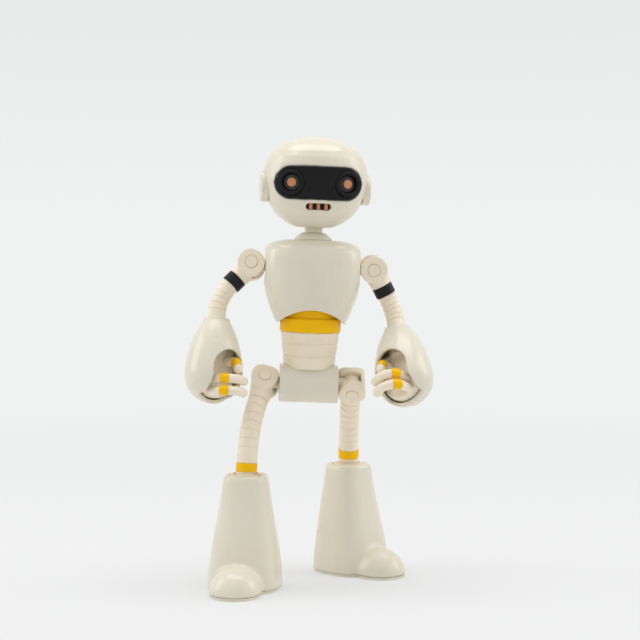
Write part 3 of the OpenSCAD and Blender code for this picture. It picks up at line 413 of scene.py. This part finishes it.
# Case screws in the back: cross-head screws sunk in low moulded rims; they are guessed, the photo shows no back
SCREW_R = 1.25 * MM
SCREW_SINK = 0.4 * MM
RIM_R = SCREW_R + 0.5 * MM
RIM_INNER_R = SCREW_R + 0.04 * MM
RIM_FOOT = 0.05 * MM
RIM_TOP = 0.16 * MM
CROSS = (1.3 * MM, 0.28 * MM, 0.1 * MM)
SCREW_STEPS = 40
RAY_START = 10 * MM
# Places of the screws, in millimetres right of and above the middle of each shell
CHEST_SCREWS = [(-9, 7), (9, 7), (-6.5, -6), (6.5, -6)]
HEAD_SCREWS = [(-7.5, -4), (7.5, -4)]


def screw_heads(node, spots):
    """Screws set square on a shell's back, at (x, z) places in millimetres from the middle of its box."""
    mesh = NODES[node].data
    tree = BVHTree.FromPolygons([v.co for v in mesh.vertices], [p.vertices[:] for p in mesh.polygons])
    low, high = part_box(node)
    middle = (low + high) / 2

    def build(work):
        for x, z in spots:
            start = Vector((middle.x + x * MM, high.y + RAY_START, middle.z + z * MM))
            hit, normal, _, _ = tree.ray_cast(start, Vector((0, -1, 0)))
            place = axis_place(hit, normal)
            turned(work, [(RIM_R, -SCREW_SINK), (RIM_R, RIM_FOOT), (SCREW_R + 0.35 * MM, RIM_TOP),
                          (SCREW_R + 0.12 * MM, RIM_TOP), (RIM_INNER_R, RIM_FOOT), (RIM_INNER_R, -SCREW_SINK)],
                   place, SCREW_STEPS)
            turned(work, [(SCREW_R, -SCREW_SINK), (SCREW_R, -0.08 * MM), (SCREW_R - 0.12 * MM, 0.0),
                          (0.62 * MM, 0.03 * MM), (0.6 * MM, 0.02 * MM), (0.0, 0.02 * MM)],
                   place, SCREW_STEPS, lambda r: 1)
            for turn in (0, math.pi / 2):
                # One arm of the cross, a narrow dark box that just breaks the head's surface: painted shade in
                # place of the cross-shaped recess
                arm = place @ Matrix.Rotation(turn, 4, "Z") @ Matrix.Diagonal((*CROSS, 1))
                made = bmesh.ops.create_cube(work, size=1, matrix=arm)
                for vert in made["verts"]:
                    for face in vert.link_faces:
                        face.material_index = 2
    return build


# The third material, dull black, is the painted shade of each screw's cross recess
new_piece("chest_back_screws", screw_heads("chest_back_shell", CHEST_SCREWS),
          "chest", [ivory_abs, pin_steel, dull_black_abs])
new_piece("head_back_screws", screw_heads("head_rear_shell", HEAD_SCREWS),
          "head", [ivory_abs, pin_steel, dull_black_abs])
for piece_name in ("chest_back_screws", "head_back_screws"):
    crisp_edges(bpy.data.objects[piece_name], SCREW_EDGE_ANGLE)

# ---- floor and light ----
# The paper's shaded surface goes over to an even tone between these distances, in metres
FLOOR_FLAT_FROM = 0.10
FLOOR_FLAT_TO = 0.55
# Share of the even tone under the robot, which keeps its shadow weak
FLOOR_FILL = 0.4
FIBRE_MM = 1.1
FIBRE_DEPTH_MM = 0.01
WORLD_LIGHT = 0.62
floor_size = 3.0


def looks_at_background(tree):
    """1 for the rays that show the background, straight or in a gloss or glass, and 0 for those that light."""
    ray = add_node(tree, "ShaderNodeLightPath")
    seen = add_node(tree, "ShaderNodeMath", {0: (ray, "Is Camera Ray"), 1: (ray, "Is Glossy Ray")},
                    operation="ADD")
    return add_node(tree, "ShaderNodeMath", {0: (seen, "Value"), 1: (ray, "Is Transmission Ray")},
                    operation="ADD", use_clamp=True)


floor_mesh = bpy.data.meshes.new("floor")
floor_mesh.from_pydata([(-floor_size, -floor_size, 0), (floor_size, -floor_size, 0), (floor_size, floor_size, 0),
                        (-floor_size, floor_size, 0)], [], [(0, 1, 2, 3)])
floor = bpy.data.objects.new("floor", floor_mesh)
bpy.context.scene.collection.objects.link(floor)
# White seamless paper: matt, with a shadow under the boots, going over to an even pale tone further off
paper, tree = new_material("white_seamless_paper")
place = add_node(tree, "ShaderNodeTexCoord")
fibre = add_node(tree, "ShaderNodeTexNoise", {"Vector": (place, "Object"), "Scale": 1 / (FIBRE_MM * MM),
                                              "Detail": 3.0})
fibre_bump = add_node(tree, "ShaderNodeBump", {"Height": (fibre, "Fac"), "Distance": FIBRE_DEPTH_MM * MM})
matt = add_node(tree, "ShaderNodeBsdfPrincipled", {"Base Color": linear("#e4e4e5"), "Roughness": 0.9,
                                                   "Normal": (fibre_bump, "Normal")})
even = add_node(tree, "ShaderNodeEmission", {"Color": linear("#f0f1f1"), "Strength": 1.0})
far = add_node(tree, "ShaderNodeVectorMath", {0: (place, "Object")}, operation="LENGTH")
far_share = add_node(tree, "ShaderNodeMapRange", {"Value": (far, "Value"), "From Min": FLOOR_FLAT_FROM,
                                                  "From Max": FLOOR_FLAT_TO, "To Min": FLOOR_FILL},
                     interpolation_type="SMOOTHSTEP")
share = add_node(tree, "ShaderNodeMath", {0: (far_share, "Result"), 1: (looks_at_background(tree), "Value")},
                 operation="MULTIPLY")
blend = add_node(tree, "ShaderNodeMixShader", {0: (share, "Value"), 1: (matt, "BSDF"), 2: (even, "Emission")})
add_node(tree, "ShaderNodeOutputMaterial", {"Surface": (blend, "Shader")})
floor_mesh.materials.append(paper)

world = bpy.data.worlds.new("studio")
bpy.context.scene.world = world
world.use_nodes = True
tree = world.node_tree
tree.nodes.clear()
place = add_node(tree, "ShaderNodeTexCoord")
# The backdrop seen behind the robot carries painted shade: pale near the horizon and darker higher up, as light
# falls off on the wall
height = add_node(tree, "ShaderNodeSeparateXYZ", {0: (place, "Generated")})
up = add_node(tree, "ShaderNodeMapRange", {"Value": (height, "Z"), "From Min": 0.0, "From Max": 0.2},
              interpolation_type="SMOOTHSTEP")
wall = add_node(tree, "ShaderNodeMix", {"Factor": (up, "Result"), "A": linear("#f0f1f1"), "B": linear("#e6e7e7")},
                data_type="RGBA")
lit = add_node(tree, "ShaderNodeBackground", {"Color": linear("#ffffff"), "Strength": WORLD_LIGHT})
seen = add_node(tree, "ShaderNodeBackground", {"Color": (wall, "Result"), "Strength": 1.0})
pick = add_node(tree, "ShaderNodeMixShader", {0: (looks_at_background(tree), "Value"), 1: (lit, "Background"),
                                              2: (seen, "Background")})
add_node(tree, "ShaderNodeOutputWorld", {"Surface": (pick, "Shader")})


def softbox(name, place, look_at, width, height, watts):
    """A rectangular lamp at a place, turned to face a point. Places and sizes are in metres."""
    lamp = bpy.data.lights.new(name, "AREA")
    lamp.shape = "RECTANGLE"
    lamp.size = width
    lamp.size_y = height
    lamp.energy = watts
    holder = bpy.data.objects.new(name, lamp)
    holder.location = place
    holder.rotation_euler = (Vector(look_at) - Vector(place)).to_track_quat("-Z", "Y").to_euler()
    bpy.context.scene.collection.objects.link(holder)


softbox("softbox_overhead", (0.0, 0.02, 0.75), (0, 0, 0.06), 0.7, 0.4, 2.3)
softbox("softbox_left", (-0.65, 0.0, 0.4), (0, 0, 0.07), 0.35, 0.5, 1.15)
softbox("softbox_right", (0.65, 0.05, 0.4), (0, 0, 0.07), 0.35, 0.5, 1.05)

bpy.context.scene.view_settings.view_transform = "Standard"
